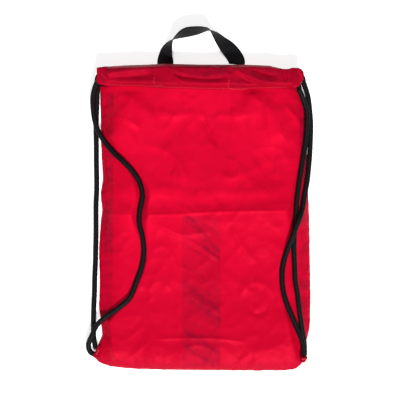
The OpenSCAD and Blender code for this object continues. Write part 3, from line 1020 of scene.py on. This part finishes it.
def back_hem_mesh(name):
    """The back tunnel, with its flat side down and room for the feet of the handle under it."""
    columns, across, under = 150, 22, 12
    x = np.linspace(-162, 157, columns)
    upper, lower = along(HEM_UPPER, x) - 0.6, along(HEM_LOWER, x)
    t = np.linspace(0, 1, across)[:, None]
    y = lower + (upper - lower) * t
    foot = np.zeros(y.shape)
    for low_corner, high_corner in HANDLE_FOOT.values():
        middle = (low_corner.x + high_corner.x) / 2 / MM
        half = WEB_W / MM / 2 + 1.5
        foot = np.maximum(foot, smooth_step((half + 4 - np.abs(x - middle)) / 4))
    z = 0.5 + foot * (WEB_T / MM + 0.1) + 0.15 * soft_noise(np.broadcast_to(x, y.shape), y, 12, 51)
    s = np.linspace(0, 1, under + 1)[1:, None]
    back_y = upper - (upper - lower - 1.0) * s
    shape = [(0, 0.2), (0.06, 0.55), (0.16, 0.95), (0.3, 1.0), (0.8, 1.0), (0.92, 0.5), (1, 0.08)]
    at, height = np.array(shape).T
    back_z = 1.0 + (BACK_TOP / MM + 0.2 - 1.0) * np.interp(s, at, height)
    back_z = np.broadcast_to(back_z, back_y.shape) + 0.25 * soft_noise(
        np.broadcast_to(x, back_y.shape), back_y, 14, 53)
    rows_y = np.vstack([y, back_y])
    rows_z = np.vstack([z, back_z])
    rows_x = np.broadcast_to(x, rows_y.shape)
    return hem_piece(name, rows_x, rows_y, rows_z, across, TUNNEL_SHUT)


def hem_piece(name, x, y, z, across, closed_span):
    """A hem from rows of points: a flap right across, the rest only where the tunnel is shut."""
    rows, columns = x.shape
    points = np.column_stack([x.ravel(), y.ravel(), z.ravel()]) * MM
    faces = []
    for i, face in enumerate(grid_faces(rows, columns)):
        row, column = divmod(i, columns - 1)
        shut = closed_span[0] < x[0, column] < closed_span[1]
        if row < across - 1 or shut:
            faces.append(face)
    for column in range(columns - 1):
        if closed_span[0] < x[0, column] < closed_span[1]:
            last = (rows - 1) * columns + column
            faces.append((last, last + 1, column + 1, column))
    piece = mesh_piece(name, points, faces, points[:, :2])
    form = bmesh.new()
    form.from_mesh(piece.data)
    loose = [v for v in form.verts if not v.link_faces]
    bmesh.ops.delete(form, geom=loose, context="VERTS")
    form.to_mesh(piece.data)
    form.free()
    return piece


def turn_over(piece):
    """Swaps the two sides of an open sheet."""
    form = bmesh.new()
    form.from_mesh(piece.data)
    bmesh.ops.reverse_faces(form, faces=form.faces)
    form.to_mesh(piece.data)
    form.free()


def on_surface(pieces, plan, lift=0.0001):
    """Points in metres where lines down through plan points in millimetres meet the pieces."""
    trees = [BVHTree.FromObject(p, bpy.context.evaluated_depsgraph_get()) for p in pieces]
    found = []
    for x, y in plan:
        start = Vector((x * MM, y * MM, 0.08))
        hits = [tree.ray_cast(start, Vector((0, 0, -1)))[0] for tree in trees]
        heights = [hit.z for hit in hits if hit is not None]
        if not heights:
            raise RuntimeError(f"no cloth under the stitch at {x:.0f}, {y:.0f}")
        found.append((start.x, start.y, max(heights) + lift))
    return found


def seam_roll(name, plan, seed):
    """A turned and gathered seam: a closed flat roll along an edge, in millimetres."""
    line = spline([(x, y, 0) for x, y in plan], 2.0)[:, :2]
    t = np.gradient(line, axis=0)
    t /= np.linalg.norm(t, axis=1)[:, None]
    inward = np.column_stack([-t[:, 1], t[:, 0]])
    run = np.concatenate([[0], np.cumsum(np.linalg.norm(np.diff(line, axis=0), axis=1))])
    angles = np.linspace(0, 2 * math.pi, 16, endpoint=False)
    points = []
    for i, (p, n) in enumerate(zip(line, inward)):
        wave = float(soft_noise(run[i], 0 * run[i], 6.5, seed))
        fine = float(soft_noise(run[i], 0 * run[i] + 9, 3.0, seed + 1))
        wide, high = 2.9 + 0.35 * wave, 1.35 + 0.3 * fine + 0.15 * wave
        for a in angles:
            reach = 3.0 - wide * math.cos(a) - 0.25 * wave
            lip = 0.25 * math.sin(2 * a)
            points.append((*(p + n * reach), 1.75 + high * math.sin(a) + lip))
    ring = len(angles)
    piece = mesh_piece(name, np.array(points) * MM, tube_faces(len(line), ring))
    outward(piece)
    return piece


# ---------------------------------------------------------------- operators

# Lamps that point at the origin: name, place in metres, power in watts and width in metres
LAMPS = (("key", (0.8, -4.3, 4.3), 480.0, 0.9), ("top", (-0.1, 0.55, 2.3), 21.0, 0.9))
CAMERA_PLACE = (-0.0026, -0.0019, 1.746)
WORLD_STRENGTH = 0.18


class SACK_OT_stage(bpy.types.Operator):
    """Sets the camera straight above the sack, with a pale floor and soft light"""
    bl_idname = "sack.stage"
    bl_label = "Camera, floor and light"

    def execute(self, context):
        scene = context.scene
        lens = bpy.data.cameras.new("camera")
        lens.lens, lens.sensor_width = 100.0, 36.0
        camera = bpy.data.objects.new("camera", lens)
        camera.location = CAMERA_PLACE
        scene.collection.objects.link(camera)
        scene.camera = camera

        clean_selection()
        bpy.ops.mesh.primitive_plane_add(size=12, location=(0, 0, FLOOR_Z - 0.0002))
        floor = context.object
        floor.name = "floor"
        floor.data.materials.append(material("floor_paper"))

        world = bpy.data.worlds.new("studio")
        world.use_nodes = True
        world.node_tree.nodes["Background"].inputs["Color"].default_value = (1, 1, 1, 1)
        world.node_tree.nodes["Background"].inputs["Strength"].default_value = WORLD_STRENGTH
        scene.world = world
        for name, place, power, width in LAMPS:
            lamp = bpy.data.lights.new(name, "AREA")
            lamp.energy, lamp.size = power, width
            light = bpy.data.objects.new(name, lamp)
            light.location = place
            light.rotation_euler = (-Vector(place)).to_track_quat("-Z", "Y").to_euler()
            scene.collection.objects.link(light)
        scene.view_settings.view_transform = "Standard"
        return {"FINISHED"}


class SACK_OT_cords(bpy.types.Operator):
    """Makes the two braided drawcords: four free legs and their hidden runs in the tunnels"""
    bl_idname = "sack.cords"
    bl_label = "Drawcords"

    def execute(self, context):
        bodies = {"left_front": "left_front_strap"}
        for name in CORD_ROUTES:
            route = route_in_metres(name)
            side, leg = name.split("_")
            piece = braided_tube(f"{side}_cord_{leg}_braid", route)
            finish_piece(
                piece, material("cord_braid"), "black_cord", bodies.get(name, "sack"),
                f"{side}_cord_{leg}_leg")
        for side in ("left", "right"):
            piece = braided_tube(f"{side}_cord_in_tunnel", np.array(tunnel_route(side)) * MM)
            finish_piece(
                piece, material("cord_braid"), "black_cord", "sack", f"{side}_cord_tunnel_run")
        return {"FINISHED"}


class SACK_OT_panels(bpy.types.Operator):
    """Makes the front and back cloths and the gathered seams that join them"""
    bl_idname = "sack.panels"
    bl_label = "Panels and seams"

    def execute(self, context):
        x, y = sack_grid(190, 250, 177)
        front = sheet_from("front_cloth", x, y, front_height(x, y))
        point_attribute(front, "dull", printed_and_shaded(x, y).ravel())
        thicken(front, sizes().cloth)
        finish_piece(front, material("nylon_panel"), "panel_cloth", "sack", "front_panel")

        x, y = sack_grid(110, 150, 176)
        edge = np.minimum(x - along(LEFT_SIDE, y), along(RIGHT_SIDE, y) - x)
        edge = np.minimum(edge, y - along(BOTTOM, x))
        z = 0.35 + 0.30 * soft_noise(x, y, 30, 61) + 0.15 * soft_noise(x, y, 11, 62)
        z = np.maximum(z, 0.05) + 0.9 * np.exp(-np.maximum(edge, 0) / 3)
        back = sheet_from("back_cloth", x, y, z)
        turn_over(back)
        point_attribute(back, "dull", np.zeros(x.size))
        thicken(back, sizes().cloth)
        finish_piece(back, material("nylon_panel"), "panel_cloth", "sack", "back_panel")

        left = [(x, y) for y, x in LEFT_SIDE[::-1] if y > -250]
        low = [(x, y) for x, y in BOTTOM if x < 163]
        right = [(x, y) for y, x in RIGHT_SIDE if y > -250]
        for name, plan, seed in (
                ("left_side_seam", left, 71), ("bottom_seam", low, 73),
                ("right_side_seam", right, 75)):
            piece = seam_roll(f"{name}_roll", plan, seed)
            point_attribute(piece, "dull", np.zeros(len(piece.data.vertices)))
            finish_piece(piece, material("nylon_panel"), "panel_cloth", "sack", name)
        return {"FINISHED"}


class SACK_OT_hems(bpy.types.Operator):
    """Makes the two tunnels that the drawcords run through"""
    bl_idname = "sack.hems"
    bl_label = "Tunnel hems"

    def execute(self, context):
        front = front_hem_mesh("front_hem")
        dull = hem_dullness(front)
        point_attribute(front, "dull", dull)
        thicken(front, sizes().cloth)
        finish_piece(front, material("nylon_hem_shaded"), "hem_cloth", "sack", "front_casing")
        back = back_hem_mesh("back_hem")
        turn_over(back)
        # Painted shade: the back hem, which lies in the front hem's shadow, is given half the dull
        # red all over.
        point_attribute(back, "dull", np.full(len(back.data.vertices), 0.5))
        thicken(back, sizes().cloth)
        finish_piece(back, material("nylon_hem_shaded"), "hem_cloth", "sack", "back_casing")
        return {"FINISHED"}


# Below this line the hem's outer side is bright, and above it dull, in millimetres
DULL_LINE = [
    (-163, 204), (-150, 197), (-128, 195.5), (-90, 199), (-65, 203), (-52, 203), (-44, 197),
    (-25, 190.5), (7, 187), (33, 188.5), (46, 193), (55, 200), (74, 200), (100, 196),
    (125, 191), (132, 200), (140, 202.5), (153, 201), (158, 193),
]


def hem_dullness(piece):
    """Dull areas of the front hem: above its folded line, over the handle's feet, at its ends."""
    place = np.array([v.co for v in piece.data.vertices]) / MM
    x, y = place[:, 0], place[:, 1]
    dull = 0.85 * smooth_step((y - along(DULL_LINE, x)) / 2.5 + 0.5)
    for low_x, high_x, low_y, high_y, amount in (
            (-72, -58, 174, 190, 0.55), (44, 70, 171, 186, 0.5), (84, 127, 180, 193, 0.4),
            (136, 150, 185, 200, 0.6), (-157, -144, 182, 194, 0.5)):
        patch = band(x, low_x, high_x, 8) * band(y, low_y, high_y, 8)
        dull = np.maximum(dull, amount * patch)
    broken = smooth_step(0.9 * soft_noise(x, y, 9, 49) + 0.6)
    return 0.3 + 0.7 * dull * (0.5 + 0.5 * broken)


class SACK_OT_stitching(bpy.types.Operator):
    """Sews the rows of stitches on the hems and round the handle's feet"""
    bl_idname = "sack.stitching"
    bl_label = "Stitching"

    def execute(self, context):
        size = sizes()
        front = bpy.data.objects["front_hem"]
        cloth = bpy.data.objects["front_cloth"]
        x = np.linspace(-149, 132, 240)
        rows = [(x, along(HEM_LOWER, x) + 1.6)]
        for box in ([(43, 186), (43, 171.5), (72, 170.5)], [(-73, 190), (-73, 176), (-60, 176)]):
            rows.append(tuple(spline(box, 2).T))
        pairs = []
        for row_x, row_y in rows:
            line = on_surface([front, cloth], zip(row_x, row_y))
            pairs += stitch_run(line, size.stitch, size.stitch_pitch)
        sew("front_hem_stitches", pairs, size.thread, "red", "front_casing_stitching")

        pairs = []
        for x0, y0, x1, y1 in ((-157, 194, -146, 184), (148, 199, 156, 186)):
            t = np.linspace(0, 1, 20)
            line = on_surface([front], zip(x0 + (x1 - x0) * t, y0 + (y1 - y0) * t))
            pairs += stitch_run(line, size.stitch * 0.8, size.stitch_pitch * 0.8)
        sew("front_end_stitches", pairs, size.thread, "red", "front_end_stitching")

        line = [(x * MM, 0.1685, 0.0001) for x in np.linspace(-150, 146, 100)]
        pairs = stitch_run(line, size.stitch, size.stitch_pitch)
        sew("back_hem_stitches", pairs, size.thread, "red", "back_casing_stitching")
        pairs = []
        for x in (-0.156, 0.150):
            line = [(x, y, 0.0002) for y in np.linspace(0.181, 0.200, 12)]
            pairs += stitch_run(line, size.stitch * 0.8, size.stitch_pitch * 0.8)
        sew("back_end_stitches", pairs, size.thread, "red", "back_end_stitching")
        return {"FINISHED"}


class SACK_OT_handle(bpy.types.Operator):
    """Makes the webbing carry handle, its two sewn feet and their box stitching"""
    bl_idname = "sack.handle"
    bl_label = "Carry handle"

    def execute(self, context):
        loop = webbing_strip("handle_strap", LOOP_STATIONS)
        finish_piece(loop, material("handle_webbing"), "black_webbing", "handle", "handle_loop")
        for side, (low, high) in HANDLE_FOOT.items():
            middle = (low.x + high.x) / 2 / MM
            line = [(middle, y, 0, 0.3) for y in np.linspace(low.y, high.y, 4) / MM]
            foot = webbing_strip(f"handle_{side}_end", line)
            finish_piece(
                foot, material("handle_webbing"), "black_webbing", "sack", f"handle_{side}_foot")
            wide, tall = 9.5, 12.0
            centre = (low.y + high.y) / 2 / MM
            corners = [(-1, -1), (1, -1), (1, 1), (-1, 1), (-1, -1), (1, 1), (1, -1), (-1, 1)]
            line = [
                ((middle + a * wide) * MM, (centre + b * tall) * MM, 0.00022) for a, b in corners]
            pairs = []
            for start, end in zip(line[:-1], line[1:]):
                pairs += stitch_run([start, end], 0.0018, 0.0023)
            sew(f"handle_{side}_sewing", pairs, sizes().thread * 0.8, "black",
                f"handle_{side}_bartack")
        return {"FINISHED"}


class SACK_OT_corner_tabs(bpy.types.Operator):
    """Makes the folded corner tabs that hold the ends of the cords, and their bartacks"""
    bl_idname = "sack.corner_tabs"
    bl_label = "Corner tabs"

    def execute(self, context):
        for side in ("left", "right"):
            low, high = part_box(f"{side}_corner_tab")
            tab = folded_tab(side, low, high)
            point_attribute(tab, "dull", np.full(len(tab.data.vertices), 0.25))
            finish_piece(tab, material("nylon_hem_shaded"), "hem_cloth", "sack", f"{side}_corner_tab")
            low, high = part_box(f"{side}_corner_bartack")
            middle = (low + high) / 2
            reach = Vector((0.0055, 0, 0)) if side == "right" else Vector((0.003, 0.0063, 0))
            pairs = []
            for step in np.linspace(-1, 1, 9):
                place = middle + reach * step * 0.6
                across = Vector((-reach.y, reach.x, 0)).normalized() * 0.0014
                top = on_surface([tab], [((place.x) / MM, (place.y) / MM)])[0][2]
                start, end = place - across, place + across
                pairs.append((np.array((start.x, start.y, top)), np.array((end.x, end.y, top))))
            sew(f"{side}_tab_sewing", pairs, sizes().thread, "red", f"{side}_corner_bartack")
        return {"FINISHED"}


def folded_tab(side, low, high):
    """A strip of cloth folded over the cord ends: a soft block with a crease round its fold."""
    outlines = {
        "left": [(-161.5, -228), (-170.5, -246.5), (-164.5, -250.5), (-155.5, -231.5)],
        "right": [(154.3, -245), (165, -245), (164, -249.5), (160, -255), (154.3, -255)],
    }
    plan = [Vector((x * MM, y * MM, 0)) for x, y in outlines[side]]
    centre = sum(plan, Vector()) / len(plan)
    levels = [0.0, 0.12, 0.45, 0.55, 0.88, 1.0]
    shrink = [0.86, 1.0, 0.97, 0.97, 1.0, 0.86]
    points = []
    for level, scale in zip(levels, shrink):
        for i, p in enumerate(plan):
            for t in (0.08, 0.5, 0.92):
                q = p.lerp(plan[(i + 1) % len(plan)], t)
                q = centre + (q - centre) * scale
                points.append((q.x, q.y, low.z + (high.z - low.z) * level))
    ring = len(plan) * 3
    tab = mesh_piece(f"{side}_tab", points, tube_faces(len(levels), ring))
    outward(tab)
    apply_modifier(tab, "SUBSURF", levels=2, render_levels=2)
    return tab


class SACK_PT_panel(bpy.types.Panel):
    """Lists the pieces of the sack and its sizes and colours"""
    bl_label = "Drawstring sack"
    bl_idname = "SACK_PT_panel"
    bl_space_type = "VIEW_3D"
    bl_region_type = "UI"
    bl_category = "Sack"

    def draw(self, context):
        for kind in OPERATORS:
            self.layout.operator(kind.bl_idname)
        for group in (context.scene.sack_sizes, context.scene.sack_colours):
            column = self.layout.column()
            for name in group.bl_rna.properties.keys():
                if name not in ("rna_type", "name"):
                    column.prop(group, name)


OPERATORS = (
    SACK_OT_stage, SACK_OT_cords, SACK_OT_panels, SACK_OT_hems, SACK_OT_stitching,
    SACK_OT_handle, SACK_OT_corner_tabs,
)
CLASSES = (SackSizes, SackColours, *OPERATORS, SACK_PT_panel)


def register():
    for kind in CLASSES:
        bpy.utils.register_class(kind)
    bpy.types.Scene.sack_sizes = PointerProperty(type=SackSizes)
    bpy.types.Scene.sack_colours = PointerProperty(type=SackColours)


def unregister():
    del bpy.types.Scene.sack_colours
    del bpy.types.Scene.sack_sizes
    for kind in reversed(CLASSES):
        bpy.utils.unregister_class(kind)


def main():
    register()
    clean_selection()
    bpy.ops.sack.stage()
    bpy.ops.sack.cords()
    bpy.ops.sack.panels()
    bpy.ops.sack.hems()
    bpy.ops.sack.stitching()
    bpy.ops.sack.handle()
    bpy.ops.sack.corner_tabs()


if __name__ == "__main__":
    main()
